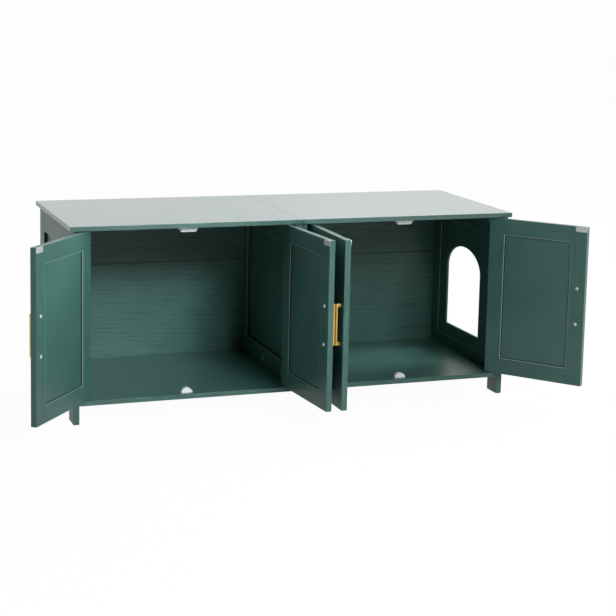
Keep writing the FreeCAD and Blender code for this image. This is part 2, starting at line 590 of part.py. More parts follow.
for door, hand, pivot_x, angle in DOORS:
    stile_size = ("door_stile", "door_thick", "door_height")
    slot_high = "door_panel_high - door_panel_low"

    # Hinge stile, bored for the pivot pins at both ends.
    stile = board(f"{door}_door_hinge_stile", (along(hand, "-pivot_inset", "door_stile"),
                                               "-door_half", "door_low"), stile_size)
    cut_slot(stile, (along(hand, f"{rail_start} - groove_depth",
                           "groove_depth + 1"), panel_slot_y, "door_panel_low"),
             ("groove_depth + 1", panel_slot, slot_high))
    drill(stile, "XY_Plane", ("0", "0", "door_low + door_height"), "pin_diameter", "pin_in_door")
    drill(stile, "XY_Plane", ("0", "0", "door_low"), "pin_diameter", "pin_in_door", inward=True)
    hang(stile, pivot_x, angle)
    add_part(stile, f"{door}_door_hinge_stile")

    # Handle stile, drilled through for the pull and for the strike plate's screw.
    stile = board(f"{door}_door_handle_stile", (along(hand, "leaf_reach - door_stile", "door_stile"),
                                                "-door_half", "door_low"), stile_size)
    cut_slot(stile, (along(hand, "leaf_reach - door_stile - 1", "groove_depth + 1"), panel_slot_y,
                     "door_panel_low"), ("groove_depth + 1", panel_slot, slot_high))
    drill(stile, "XZ_Plane", (f"{hand} * handle_reach", "-door_half - 1",
                              "handle_middle - handle_pitch / 2"),
          "handle_screw_diameter + 2 * hole_play", "door_thick + 2",
          pitch="handle_pitch", pitch_up=True)
    drill(stile, "XZ_Plane", (f"{hand} * (leaf_reach - plate_length / 2)", "door_half",
                              "door_low + door_height - plate_height / 2"),
          "plate_screw_diameter", "plate_screw_length", inward=True)
    hang(stile, pivot_x, angle)
    add_part(stile, f"{door}_door_handle_stile")

    # The two rails between the stiles.
    rails = []
    for level, low_z, slot_z in (("top", "door_low + door_height - door_rail",
                                  "door_low + door_height - door_rail - 1"),
                                 ("bottom", "door_low", "door_panel_low")):
        rail = board(f"{door}_door_{level}_rail", (along(hand, rail_start, rail_wide), "-door_half", low_z),
                     (rail_wide, "door_thick", "door_rail"))
        cut_slot(rail, (along(hand, f"{rail_start} - 1", f"{rail_wide} + 2"), panel_slot_y, slot_z),
                 (f"{rail_wide} + 2", panel_slot, "groove_depth + 1"))
        rails.append(rail)
    hang(group(f"{door}_door_rails", rails), pivot_x, angle)

    # The recessed panel, loose in its grooves.
    panel_wide = f"{rail_wide} + 2 * groove_depth - 2 * panel_clearance"
    panel = board(f"{door}_door_panel",
                  (along(hand, f"{rail_start} - groove_depth + panel_clearance", panel_wide),
                   "door_panel_y", "door_panel_low + panel_clearance"),
                  (panel_wide, "door_panel_thick", "door_panel_high - door_panel_low - 2 * panel_clearance"),
                  eased=False)
    hang(panel, pivot_x, angle)
    add_part(panel, f"{door}_door_panel")

    # Bar pull: a flat bar on two end posts, with blind screw holes in the posts.
    pull = board(f"{door}_door_handle",
                 (along(hand, "handle_reach - handle_bar_width / 2", "handle_bar_width"),
                  "-handle_front", "handle_middle - handle_pitch / 2 - handle_post / 2"),
                 ("handle_bar_width", "handle_projection", "handle_pitch + handle_post"), eased=False)
    cut_slot(pull, (along(hand, "handle_reach - handle_bar_width / 2 - 1", "handle_bar_width + 2"),
                    "-handle_front + handle_bar_thick",
                    "handle_middle - handle_pitch / 2 + handle_post / 2"),
             ("handle_bar_width + 2", "handle_projection - handle_bar_thick + 1",
              "handle_pitch - handle_post"))
    round_edges(pull, "handle_round")
    drill(pull, "XZ_Plane", (f"{hand} * handle_reach", "-door_half", "handle_middle - handle_pitch / 2"),
          "handle_screw_diameter", "handle_screw_grip + 1", inward=True,
          pitch="handle_pitch", pitch_up=True)
    hang(pull, pivot_x, angle)
    add_part(pull, f"{door}_door_handle")

    # Strike plate on the inner face at the top free corner, with rounded corners.
    plate = board(f"{door}_door_strike_plate", (along(hand, "leaf_reach - plate_length", "plate_length"),
                                                "door_half", "door_low + door_height - plate_height"),
                  ("plate_length", "plate_thick", "plate_height"), eased=False)
    round_edges(plate, "plate_corner", V(0, 1, 0))
    plate_x = f"{hand} * (leaf_reach - plate_length / 2)"
    plate_z = "door_low + door_height - plate_height / 2"
    sink = cone(f"{door}_door_plate_sink", (plate_x, "door_half", plate_z),
                "plate_screw_diameter / 2 + cam_play", "plate_head_diameter / 2 + cam_play",
                "plate_thick", "Y")
    plate = cut(f"{door}_door_plate", plate, sink)
    hang(plate, pivot_x, angle)
    add_part(plate, f"{door}_door_strike_plate")

    # Screws: two that hold the pull from inside and one through the strike plate.
    screws = []
    for number, height in enumerate(("handle_middle - handle_pitch / 2",
                                     "handle_middle + handle_pitch / 2")):
        stem = f"{door}_door_handle_screw_{number}"
        shank = cylinder(stem + "_shank",
                         (f"{hand} * handle_reach", "-door_half - handle_screw_grip", height),
                         "handle_screw_diameter", "door_thick + handle_screw_grip", "Y")
        cap = cone(stem + "_head", (f"{hand} * handle_reach", "door_half", height),
                   "screw_head_diameter / 2", "screw_head_diameter / 3", "screw_head_height", "Y")
        screws.append(fuse(stem, shank, cap))
    stem = f"{door}_door_plate_screw"
    shank = cylinder(stem + "_shank", (plate_x, "door_half - plate_screw_length", plate_z),
                     "plate_screw_diameter", "plate_screw_length", "Y")
    cap = cone(stem + "_head", (plate_x, "door_half", plate_z), "plate_screw_diameter / 2",
               "plate_head_diameter / 2", "plate_thick", "Y")
    screws.append(fuse(stem, shank, cap))
    hang(group(f"{door}_door_screws", screws), pivot_x, angle)

    # Pivot pins, pressed into the ends of the hinge stile.
    pin_long = "pin_in_door + pin_in_bush"
    low_pin = cylinder(f"{door}_door_low_pin", ("0", "0", "base_top - pin_in_bush"),
                       "pin_diameter", f"{pin_long} + door_gap_bottom")
    high_pin = cylinder(f"{door}_door_high_pin", ("0", "0", "door_low + door_height - pin_in_door"),
                        "pin_diameter", f"{pin_long} + door_gap_top")
    hang(group(f"{door}_door_pivot_pins", [low_pin, high_pin]), pivot_x, angle)

# ---------------------------------------------------------------- pivot bushes
# Flanged sleeves in the base and in the top; the doors' pins turn in them.

bushes = []
for door, hand, pivot_x, angle in DOORS:
    bore = "pin_diameter + 2 * pin_play"
    for level, sleeve_z, flange_z in (("low", "base_top - bush_depth", "base_top"),
                                      ("high", "top_under - bush_flange_thick",
                                       "top_under - bush_flange_thick")):
        stem = f"{door}_{level}_bush"
        sleeve = cylinder(stem + "_sleeve", (pivot_x, "pivot_y", sleeve_z), "bush_diameter",
                          "bush_depth + bush_flange_thick")
        flange = cylinder(stem + "_flange", (pivot_x, "pivot_y", flange_z), "bush_flange_diameter",
                          "bush_flange_thick")
        hole = cylinder(stem + "_bore", (pivot_x, "pivot_y", f"{sleeve_z} - 1"), bore,
                        "bush_depth + bush_flange_thick + 2")
        bushes.append(cut(stem, fuse(stem + "_body", sleeve, flange), hole))
group("pivot_bushes", bushes)

# ---------------------------------------------------------------- magnetic catches and door stops
# Under the top of each bay a double catch whose two magnets each meet one door's strike plate;
# on the base below it a half-round stop that both doors close against.

housings = []
magnets = []
catch_screws = []
stops = []
for name, side in SIDES:
    middle = f"{side} * bay_middle"

    # Housing: a trapezoid with a magnet window for each door and a screw hole in each ear.
    housing = doc.addObject("PartDesign::Body", f"catch_{name}_housing")
    sketch = sketch_on(housing, "XZ_Plane", (middle, "catch_y + catch_depth", "top_under - catch_height"))
    outline = [V(-18, 0, 0), V(18, 0, 0), V(29, 13, 0), V(-29, 13, 0)]
    for start, end in zip(outline, outline[1:] + outline[:1]):
        sketch.addGeometry(Part.LineSegment(start, end), False)
    for line in range(4):
        sketch.addConstraint(Sketcher.Constraint("Coincident", line, 2, (line + 1) % 4, 1))
    sketch.addConstraint(Sketcher.Constraint("Symmetric", 0, 1, 0, 2, -1, 1))
    sketch.addConstraint(Sketcher.Constraint("Symmetric", 2, 1, 2, 2, -2))
    low = sketch.addConstraint(Sketcher.Constraint("DistanceX", 0, 1, 0, 2, 36))
    sketch.addConstraint(Sketcher.Constraint("Horizontal", 0))
    wide = sketch.addConstraint(Sketcher.Constraint("DistanceX", 2, 2, 2, 1, 58))
    high = sketch.addConstraint(Sketcher.Constraint("DistanceY", 0, 1, 2, 2, 13))
    sketch.renameConstraint(low, "low")
    sketch.renameConstraint(wide, "wide")
    sketch.renameConstraint(high, "high")
    bind(sketch, {"Constraints.low": "catch_front_length", "Constraints.wide": "catch_top_length",
                  "Constraints.high": "catch_height"})
    pad = housing.newObject("PartDesign::Pad", f"catch_{name}_pad")
    pad.Profile = sketch
    bind(pad, {"Length": "catch_depth"})
    window_z = "top_under - catch_height / 2 - magnet_height / 2"
    for number in (-1, 1):
        magnet_x = f"{middle} + {number} * magnet_pitch / 2 - magnet_length / 2"
        cut_slot(housing, (f"{magnet_x} - cam_play", "catch_y - 1", f"{window_z} - cam_play"),
                 ("magnet_length + 2 * cam_play", "magnet_depth - magnet_proud + cam_play + 1",
                  "magnet_height + 2 * cam_play"))
        magnets.append(block(f"catch_{name}_magnet_{number + 2}", (magnet_x, "magnet_y", window_z),
                             ("magnet_length", "magnet_depth", "magnet_height")))
    screw_y = "catch_y + catch_depth / 2"
    first_x = f"{middle} - catch_screw_pitch / 2"
    drill(housing, "XY_Plane", (first_x, screw_y, "top_under - catch_height"), "catch_screw_head",
          "catch_height - catch_ear", inward=True, pitch="catch_screw_pitch")
    drill(housing, "XY_Plane", (first_x, screw_y, "top_under - catch_ear - 1"),
          "catch_screw_diameter", "catch_ear + 1", inward=True, pitch="catch_screw_pitch")
    housings.append(housing)
    for number in (-1, 1):
        stem = f"catch_{name}_screw_{number + 2}"
        screw_x = f"{middle} + {number} * catch_screw_pitch / 2"
        shank = cylinder(stem + "_shank", (screw_x, screw_y, "top_under - catch_ear"),
                         "catch_screw_diameter", "catch_ear + catch_screw_bite")
        cap = cone(stem + "_head", (screw_x, screw_y, "top_under - catch_ear - catch_screw_head / 4"),
                   "catch_screw_head / 3", "catch_screw_head / 2 - cam_play", "catch_screw_head / 4")
        catch_screws.append(fuse(stem, shank, cap))

    # Stop: the part of a short cylinder that stands above the base, on a stem pressed into it.
    drum = cylinder(f"stop_{name}_drum", (middle, "stop_y", "base_top + stop_height - stop_radius"),
                    "2 * stop_radius", "stop_depth", "Y")
    keep = block(f"stop_{name}_keep", (f"{middle} - stop_width", "stop_y - 1", "base_top"),
                 ("2 * stop_width", "stop_depth + 2", "stop_height + 1"))
    dome = doc.addObject("Part::MultiCommon", f"stop_{name}_dome")
    dome.Shapes = [drum, keep]
    stem = cylinder(f"stop_{name}_stem", (middle, "stop_y + stop_depth / 2", "base_top - stop_stem_length"),
                    "stop_stem_diameter", "stop_stem_length + stop_height / 2")
    stops.append(fuse(f"stop_{name}", dome, stem))
group("magnetic_catches", housings)
group("catch_magnets", magnets)
group("catch_screws", catch_screws)
group("door_stops", stops)

# ---------------------------------------------------------------- cam fittings
# Cams in the frames' inner faces pull the top down and the partition onto the base; cams in the
# underside of the base pull the sides against it.

cams = []
bolts = []
for name, side in SIDES:
    frame_bolt = f"{side} * (side_in + side_out) / 2"
    middle_bolt = f"{side} * part_half / 2"
    side_cam_x = f"{side} * side_in" if side > 0 else "-side_in - cam_depth"
    part_cam_x = f"{side} * part_half - cam_depth" if side > 0 else "-part_half"
    base_cam = f"{side} * (side_in - cam_setback)"
    for number, place in enumerate(("cam_y", "cam_y + cam_pitch")):
        rows = (
            ("side", side_cam_x, "top_under - cam_setback", frame_bolt, "top_under - bolt_shank"),
            ("part_top", part_cam_x, "top_under - cam_setback", middle_bolt, "top_under - bolt_shank"),
            ("part_low", part_cam_x, "base_top + cam_setback", middle_bolt, "base_top - bolt_thread"),
        )
        for row, cam_x, cam_z, bolt_x, bolt_z in rows:
            stem = f"cam_{name}_{row}_{number}"
            drum = cylinder(stem + "_drum", (cam_x, place, cam_z), "cam_diameter", "cam_depth", "X")
            faces_left = (row == "side") == (side > 0)
            mouth_x = f"{cam_x} - 1" if faces_left else f"{cam_x} + cam_depth - cam_slot_depth"
            slot = block(stem + "_slot", (mouth_x, f"{place} - cam_slot_width / 2",
                                          f"{cam_z} - cam_diameter / 3"),
                         ("cam_slot_depth + 1", "cam_slot_width", "2 * cam_diameter / 3"))
            cams.append(cut(stem, drum, slot))
            bolts.append(cylinder(stem + "_bolt", (bolt_x, place, bolt_z), "bolt_diameter",
                                  "bolt_shank + bolt_thread"))
        stem = f"cam_{name}_base_{number}"
        cams.append(cylinder(stem, (base_cam, place, "base_height"), "cam_diameter", "base_cam_depth"))
        bolt_x = "side_in - bolt_shank" if side > 0 else "-side_in - bolt_thread"
        bolts.append(cylinder(stem + "_bolt", (bolt_x, place, "base_height + base_thick / 2"),
                              "bolt_diameter", "bolt_shank + bolt_thread", "X"))
group("cam_locks", cams)
group("cam_bolts", bolts)

# ---------------------------------------------------------------- check and write

doc.recompute()
for item in doc.Objects:
    faults = [state for state in item.State if state in ("Invalid", "Error")]
    if faults:
        raise SystemExit(f"{item.Name} ({item.Label}) is {faults}")
for label, part in parts.items():
    if part.Shape.isNull() or not part.Shape.isValid():
        raise SystemExit(f"{label} has no valid shape")

os.makedirs("parts", exist_ok=True)
for label, part in sorted(parts.items()):
    part.Shape.exportStep(f"parts/{label}.step")
    box = part.Shape.BoundBox
    print(f"{label}: {len(part.Shape.Solids)} solid(s), {part.Shape.Volume:.0f} mm3, "
          f"x {box.XMin:.1f}..{box.XMax:.1f}, y {box.YMin:.1f}..{box.YMax:.1f}, "
          f"z {box.ZMin:.1f}..{box.ZMax:.1f}")
print(f"{len(parts)} sub-parts")
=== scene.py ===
import json
import math

import bmesh
import bpy
from mathutils import Matrix, Vector

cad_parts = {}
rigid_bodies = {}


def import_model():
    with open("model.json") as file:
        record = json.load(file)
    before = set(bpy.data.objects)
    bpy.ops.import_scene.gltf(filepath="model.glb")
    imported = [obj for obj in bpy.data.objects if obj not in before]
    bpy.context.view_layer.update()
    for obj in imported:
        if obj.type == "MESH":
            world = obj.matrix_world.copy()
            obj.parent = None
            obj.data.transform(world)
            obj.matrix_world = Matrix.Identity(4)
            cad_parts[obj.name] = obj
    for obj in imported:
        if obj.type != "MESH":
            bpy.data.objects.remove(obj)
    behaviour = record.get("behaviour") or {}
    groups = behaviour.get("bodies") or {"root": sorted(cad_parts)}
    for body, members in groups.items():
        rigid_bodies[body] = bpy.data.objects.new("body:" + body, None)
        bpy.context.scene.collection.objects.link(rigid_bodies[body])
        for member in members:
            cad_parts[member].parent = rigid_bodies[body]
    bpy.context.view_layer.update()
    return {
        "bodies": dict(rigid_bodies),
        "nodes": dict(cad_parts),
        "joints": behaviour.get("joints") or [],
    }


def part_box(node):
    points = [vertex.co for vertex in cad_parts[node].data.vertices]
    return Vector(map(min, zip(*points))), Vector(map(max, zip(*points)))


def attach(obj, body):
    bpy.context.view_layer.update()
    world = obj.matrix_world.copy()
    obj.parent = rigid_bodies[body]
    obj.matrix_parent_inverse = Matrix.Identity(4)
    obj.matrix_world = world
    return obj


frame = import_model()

nodes = frame["nodes"]

# Camera. It stands to the left of the cabinet's front, a little above the top, so the top is seen at a
# low slant, and both bays, the inner faces of three doors and the far cat entry are in view.
kept = set(frame["bodies"].values()) | set(nodes.values())
for spare in [thing for thing in bpy.data.objects if thing not in kept]:
    bpy.data.objects.remove(spare)

camera = bpy.data.objects.new("camera", bpy.data.cameras.new("camera"))
bpy.context.scene.collection.objects.link(camera)
bpy.context.scene.camera = camera
camera.data.sensor_width = 36.0
camera.data.lens = 91.89
camera.data.shift_x, camera.data.shift_y = -0.0008, -0.1421
heading, dip, lean = -0.351647, 0.1517907, 0.0225612
ahead = Vector((-math.sin(heading), math.cos(heading), 0))
aside = Vector((math.cos(heading), math.sin(heading), 0))
upward = Vector((0, 0, 1)) * math.cos(dip) + ahead * math.sin(dip)
forward = ahead * math.cos(dip) - Vector((0, 0, 1)) * math.sin(dip)
rightward = aside * math.cos(lean) + upward * math.sin(lean)
overhead = upward * math.cos(lean) - aside * math.sin(lean)
aim = Matrix((rightward, overhead, -forward)).transposed().to_4x4()
camera.matrix_world = Matrix.Translation((-1.35677, -3.97093, 1.10700)) @ aim
bpy.context.scene.view_settings.view_transform = "Standard"


# Studio. A room with a white wall behind the cabinet and a dim one in front. A large soft lamp high at the
# front reaches the floor and the lower back of each bay, a narrow one fills the left bay, and others at the
# right and the back light the rest.
def shader(tree, kind, **settings):
    made = tree.nodes.new("ShaderNode" + kind)
    for name, value in settings.items():
        setattr(made, name, value)
    return made


def preset(node, values):
    for name, value in values.items():
        node.inputs[name].default_value = value


def join(tree, value, socket):
    if hasattr(value, "links"):
        tree.links.new(value, socket)
    else:
        socket.default_value = value


def reckon(tree, operation, first, second=0.0, clamp=False):
    made = shader(tree, "Math", operation=operation, use_clamp=clamp)
    join(tree, first, made.inputs[0])
    join(tree, second, made.inputs[1])
    return made.outputs[0]


def times(tree, first, second):
    return reckon(tree, "MULTIPLY", first, second)


def spread(tree, value, low, high, to_low=0.0, to_high=1.0):
    made = shader(tree, "MapRange", clamp=True)
    for place, given in enumerate((value, low, high, to_low, to_high)):
        join(tree, given, made.inputs[place])
    return made.outputs[0]


def blank_finish(name):
    """A new material, its node tree and its surface."""
    made = bpy.data.materials.new(name)
    made.use_nodes = True
    return made, made.node_tree, made.node_tree.nodes["Principled BSDF"]


DIM_FRONT, WHITE_BACK, SEEN_WHITE = 0.035, 1.0, 0.99
room = bpy.data.worlds.new("white_room")
bpy.context.scene.world = room
room.use_nodes = True
walls = room.node_tree
sight = shader(walls, "LightPath").outputs
way = shader(walls, "SeparateXYZ")
walls.links.new(shader(walls, "TexCoord").outputs["Generated"], way.inputs[0])
unseen = spread(walls, way.outputs["Y"], -0.3, 0.5, DIM_FRONT, WHITE_BACK)
seen = reckon(walls, "MAXIMUM", sight["Is Camera Ray"], sight["Is Transmission Ray"])
chosen = shader(walls, "Mix", data_type="FLOAT")
for place, given in ((0, seen), (2, unseen), (3, SEEN_WHITE)):
    join(walls, given, chosen.inputs[place])
paper = next(node for node in walls.nodes if node.type == "BACKGROUND")
paper.inputs["Color"].default_value = (1, 1, 1, 1)
walls.links.new(chosen.outputs[0], paper.inputs["Strength"])

FLOOR_HALF, FLOOR_DROP = 130.0, -0.0004
floor_mesh = bpy.data.meshes.new("floor")
sheet = bmesh.new()
bmesh.ops.create_grid(sheet, x_segments=1, y_segments=1, size=FLOOR_HALF)
bmesh.ops.translate(sheet, verts=sheet.verts, vec=(0, 0, FLOOR_DROP))
sheet.to_mesh(floor_mesh)
sheet.free()
floor = bpy.data.objects.new("floor", floor_mesh)
bpy.context.scene.collection.objects.link(floor)

# Seen or mirrored, the floor glows white over its lit surface, whose share shows the cabinet's shadow.
GLOW_SEEN, GLOW_MIRRORED = 0.93, 0.50
floor_white, tree, matt = blank_finish("white_floor")
preset(matt, {"Base Color": (0.48, 0.48, 0.48, 1), "Roughness": 0.9, "Specular IOR Level": 0.1})
glow = shader(tree, "Emission")
preset(glow, {"Color": (1, 1, 1, 1), "Strength": 1.035})
sight = shader(tree, "LightPath").outputs
direct = reckon(tree, "MAXIMUM", sight["Is Camera Ray"], sight["Is Transmission Ray"])
direct = reckon(tree, "MAXIMUM", direct, times(tree, sight["Is Glossy Ray"], GLOW_MIRRORED))
either = shader(tree, "MixShader")
tree.links.new(times(tree, direct, GLOW_SEEN), either.inputs[0])
tree.links.new(matt.outputs[0], either.inputs[1])
tree.links.new(glow.outputs[0], either.inputs[2])
tree.links.new(either.outputs[0], tree.nodes["Material Output"].inputs["Surface"])
floor.data.materials.append(floor_white)


def soft_lamp(name, place, target, width, height, watts, tint=(1, 1, 1)):
    lamp = bpy.data.objects.new(name, bpy.data.lights.new(name, "AREA"))
    lamp.data.shape = "RECTANGLE"
    lamp.data.size, lamp.data.size_y = width, height
    lamp.data.energy = watts
    lamp.data.color = tint
    lamp.location = place
    lamp.rotation_euler = (Vector(target) - Vector(place)).to_track_quat("-Z", "Y").to_euler()
    bpy.context.scene.collection.objects.link(lamp)
    return lamp


MIDDLE, LEFT_BAY, DAYLIGHT = (0, 0, 0.25), (-0.42, 0.15, 0.13), (0.84, 0.95, 1.0)
soft_lamp("front_lamp", (0.70, -3.56, 2.35), MIDDLE, 1.6, 1.6, 91)
soft_lamp("right_lamp", (3.81, 0.0, 2.02), MIDDLE, 1.6, 1.6, 144)
bay_lamp = soft_lamp("bay_lamp", (0.35, -2.9, 1.75), LEFT_BAY, 0.5, 0.5, 1.35, DAYLIGHT)
bay_lamp.data.spread = math.radians(24)
soft_lamp("back_lamp", (2.0, 3.1, 2.4), MIDDLE, 1.8, 1.6, 8)


# Top. Two boards of fibreboard, embossed with a wood grain that runs their length and sprayed dark green,
# meet over the partition. The paint is satin, a little uneven, and paler at the edges, partly where handling
# rubs them and partly as a painted highlight.
def noise(tree, vector, scale, detail=2.0, roughness=0.5):
    made = shader(tree, "TexNoise")
    tree.links.new(vector, made.inputs["Vector"])
    preset(made, {"Scale": scale, "Detail": detail, "Roughness": roughness, "Distortion": 0.0})
    return made.outputs["Fac"]


def stretched(tree, vector, scale, turn=(0, 0, 0), shift=(0, 0, 0)):
    made = shader(tree, "Mapping")
    tree.links.new(vector, made.inputs["Vector"])
    preset(made, {"Scale": scale, "Rotation": turn, "Location": shift})
    return made.outputs[0]


def tinted(tree, share, first, second):
    made = shader(tree, "Mix", data_type="RGBA", blend_type="MIX")
    for value, place in ((share, 0), (first, 6), (second, 7)):
        join(tree, value, made.inputs[place])
    return made.outputs[2]


def pressed_in(tree, skin, height, depth, strength=1.0):
    """Gives the surface a relief of that depth."""
    press = shader(tree, "Bump")
    preset(press, {"Strength": strength, "Distance": depth})
    tree.links.new(height, press.inputs["Height"])
    tree.links.new(press.outputs[0], skin.inputs["Normal"])


def effect(name, sizes, results):
    """A node group that takes a vector and some sizes, each with its usual value."""
    group = bpy.data.node_groups.new(name, "ShaderNodeTree")
    group.interface.new_socket(name="Vector", in_out="INPUT", socket_type="NodeSocketVector")
    for title, usual in sizes.items():
        taken = group.interface.new_socket(name=title, in_out="INPUT", socket_type="NodeSocketFloat")
        taken.default_value = usual
    for title in results:
        group.interface.new_socket(name=title, in_out="OUTPUT", socket_type="NodeSocketFloat")
    return group, group.nodes.new("NodeGroupInput").outputs, group.nodes.new("NodeGroupOutput").inputs


# The grain is broken rings with fine pores between them, both long along X, under a light orange peel.
grain, given, result = effect("embossed_grain", {"Relief": 1.0}, ("Height", "Groove", "Mottle"))
lie = given["Vector"]
drift = noise(grain, stretched(grain, lie, (1.6, 9.0, 9.0)), 1.0, 3.0, 0.55)
rings = shader(grain, "TexWave", wave_type="BANDS", bands_direction="DIAGONAL", wave_profile="SIN")
grain.links.new(stretched(grain, lie, (1.4, 34.0, 34.0)), rings.inputs["Vector"])
grain.links.new(times(grain, drift, 22.0), rings.inputs["Phase Offset"])
preset(rings, {"Scale": 1.0, "Distortion": 2.4, "Detail": 2.0, "Detail Scale": 1.3})
breaks = spread(grain, noise(grain, stretched(grain, lie, (9.0, 60.0, 60.0)), 1.0), 0.38, 0.58)
valley = times(grain, spread(grain, rings.outputs["Fac"], 0.30, 0.02), breaks)
pores = spread(grain, noise(grain, stretched(grain, lie, (30.0, 900.0, 900.0)), 1.0, 2.0, 0.6), 0.56, 0.72)
valley = reckon(grain, "MAXIMUM", valley, times(grain, pores, 0.45))
valley = reckon(grain, "MULTIPLY", valley, given["Relief"], clamp=True)
peel = times(grain, noise(grain, lie, 420.0), 0.10)
grain.links.new(reckon(grain, "SUBTRACT", peel, valley), result["Height"])
grain.links.new(valley, result["Groove"])
grain.links.new(noise(grain, lie, 5.5, 4.0, 0.6), result["Mottle"])

# Wear and a painted highlight lie where a rounded edge would turn away from the flat, in patches.
wear_and_glint, given, result = effect("rubbed_and_glinting_edges", {"Width": 0.0012}, ("Rubbed Glint",))
rounded = shader(wear_and_glint, "Bevel", samples=4)
wear_and_glint.links.new(given["Width"], rounded.inputs["Radius"])
against = shader(wear_and_glint, "VectorMath", operation="DOT_PRODUCT")
wear_and_glint.links.new(rounded.outputs[0], against.inputs[0])
wear_and_glint.links.new(shader(wear_and_glint, "NewGeometry").outputs["Normal"], against.inputs[1])
rim = spread(wear_and_glint, against.outputs["Value"], 0.985, 0.80)
patches = spread(wear_and_glint, noise(wear_and_glint, given["Vector"], 38.0, 3.0, 0.6), 0.25, 0.62, 0.35, 1.0)
wear_and_glint.links.new(times(wear_and_glint, rim, patches), result["Rubbed Glint"])

MM = 0.001
GREEN, PALE_GREEN = (0.042, 0.122, 0.102, 1), (0.058, 0.148, 0.128, 1)
DEEP_GREEN, RUBBED_AND_GLINT_GREEN = (0.020, 0.066, 0.056, 1), (0.27, 0.36, 0.33, 1)
RUN_X, RUN_Z = (0, 0, 0), (0, math.pi / 2, 0)


def grouped(tree, group, vector, **sizes):
    made = tree.nodes.new("ShaderNodeGroup")
    made.node_tree = group
    tree.links.new(vector, made.inputs["Vector"])
    preset(made, {title.replace("_", " "): size for title, size in sizes.items()})
    return made.outputs


def green_paint(name, run, relief=0.5, emboss=0.14 * MM, rough=0.36, fine=1.6, lacquer=0.0, rub_and_glint=0.25,
                shift=(0, 0, 0)):
    """Green paint over a grain that lies along run; relief and emboss set how bold and how deep it is."""
    paint, tree, coat = blank_finish(name)
    place = shader(tree, "TexCoord").outputs["Object"]
    marks = grouped(tree, grain, stretched(tree, place, (fine, fine, fine), run, shift), Relief=relief)
    rubbed_and_glint = grouped(tree, wear_and_glint, place)["Rubbed Glint"]
    body = tinted(tree, spread(tree, marks["Mottle"], 0.3, 0.7), GREEN, PALE_GREEN)
    body = tinted(tree, times(tree, marks["Groove"], 0.60), body, DEEP_GREEN)
    # Paler edges: partly rubbed paint, partly a painted highlight.
    body = tinted(tree, times(tree, rubbed_and_glint, rub_and_glint), body, RUBBED_AND_GLINT_GREEN)
    tree.links.new(body, coat.inputs["Base Color"])
    sheen = reckon(tree, "ADD", rough - 0.05, times(tree, marks["Mottle"], 0.10))
    sheen = reckon(tree, "ADD", sheen, times(tree, marks["Groove"], 0.12))
    tree.links.new(sheen, coat.inputs["Roughness"])
    preset(coat, {"IOR": 1.5, "Coat Weight": lacquer, "Coat Roughness": 0.22})
    pressed_in(tree, coat, marks["Height"], emboss)
    return paint


def finish(node, material):
    for slot in range(len(nodes[node].data.materials)):
        nodes[node].data.materials[slot] = material


for name, shift in (("top_left", (0, 0, 0)), ("top_right", (0.37, 0.23, 0))):
    finish(name, green_paint(f"green_{name}", RUN_X, relief=0.35, emboss=0.05 * MM, rough=0.34, fine=1.2,
                             lacquer=0.9, shift=shift))


# Side frames. Two legs stand the full height with a rail at the top and one above the feet, grooved round
# a thin panel that has the cat entry cut through it. Legs are embossed upright, and rails front to back.
# The frame's inner edge is eased and gets a painted highlight, and the corner behind it gets painted deep
# shade.
SHADED, GLINT = (0.004, 0.010, 0.009, 1), (0.42, 0.55, 0.52, 1)
SUNK, BEHIND_EDGE, EASED, SHADE_REACH = 0.9 * MM, 0.4 * MM, 1.1 * MM, 3 * MM
step, given, result = effect("panel_step", {"Half Width": 0.1, "Half Thick": 0.0075, "Half Height": 0.17},
                             ("Shade", "Lit"))
spot = shader(step, "SeparateXYZ")
step.links.new(given["Vector"], spot.inputs[0])
from_side, from_face, from_end = (
    reckon(step, "SUBTRACT", given[half], reckon(step, "ABSOLUTE", spot.outputs[axis]))
    for half, axis in (("Half Width", "X"), ("Half Thick", "Y"), ("Half Height", "Z")))
inward = reckon(step, "MINIMUM", from_side, from_end)
sunk = reckon(step, "GREATER_THAN", from_face, SUNK)
shade = times(step, reckon(step, "GREATER_THAN", inward, -BEHIND_EDGE),
              spread(step, inward, 0.0, SHADE_REACH, 1.0, 0.0))
step.links.new(times(step, shade, sunk), result["Shade"])
lit = times(step, reckon(step, "GREATER_THAN", inward, -EASED), reckon(step, "SUBTRACT", 1.0, sunk))
step.links.new(lit, result["Lit"])


def paint_step_light(paint, stand, middle, half):
    """Paints deep shade into the corner and a highlight along the eased edge at the step on a frame's paint,
    round the opening with that middle and half sizes on its stand.
    """
    tree = paint.node_tree
    skin = tree.nodes["Principled BSDF"].inputs["Base Color"]
    onto_stand = stand.inverted()
    lie = stretched(tree, shader(tree, "TexCoord").outputs["Object"], (1, 1, 1), onto_stand.to_euler(),
                    onto_stand.translation - middle)
    marks = grouped(tree, step, lie, Half_Width=half.x, Half_Thick=half.y, Half_Height=half.z)
    tone = tinted(tree, times(tree, marks["Shade"], 0.9), skin.links[0].from_socket, SHADED)
    tree.links.new(tinted(tree, times(tree, marks["Lit"], 0.9), tone, GLINT), skin)


def seen_from(stand, *names):
    """Every corner of these nodes' meshes, as measured on a stand: X along a frame and Y through it."""
    onto_stand = stand.inverted()
    return [onto_stand @ corner.co for name in names for corner in nodes[name].data.vertices]


def span(corners, axis):
    """The lowest and highest of these corners along an axis."""
    along = [corner[axis] for corner in corners]
    return min(along), max(along)


def widest_gap(corners, axis):
    """The two neighbours that lie furthest apart along an axis, which are the edges of an opening."""
    along = sorted(corner[axis] for corner in corners)
    return max(zip(along, along[1:]), key=lambda pair: pair[1] - pair[0])


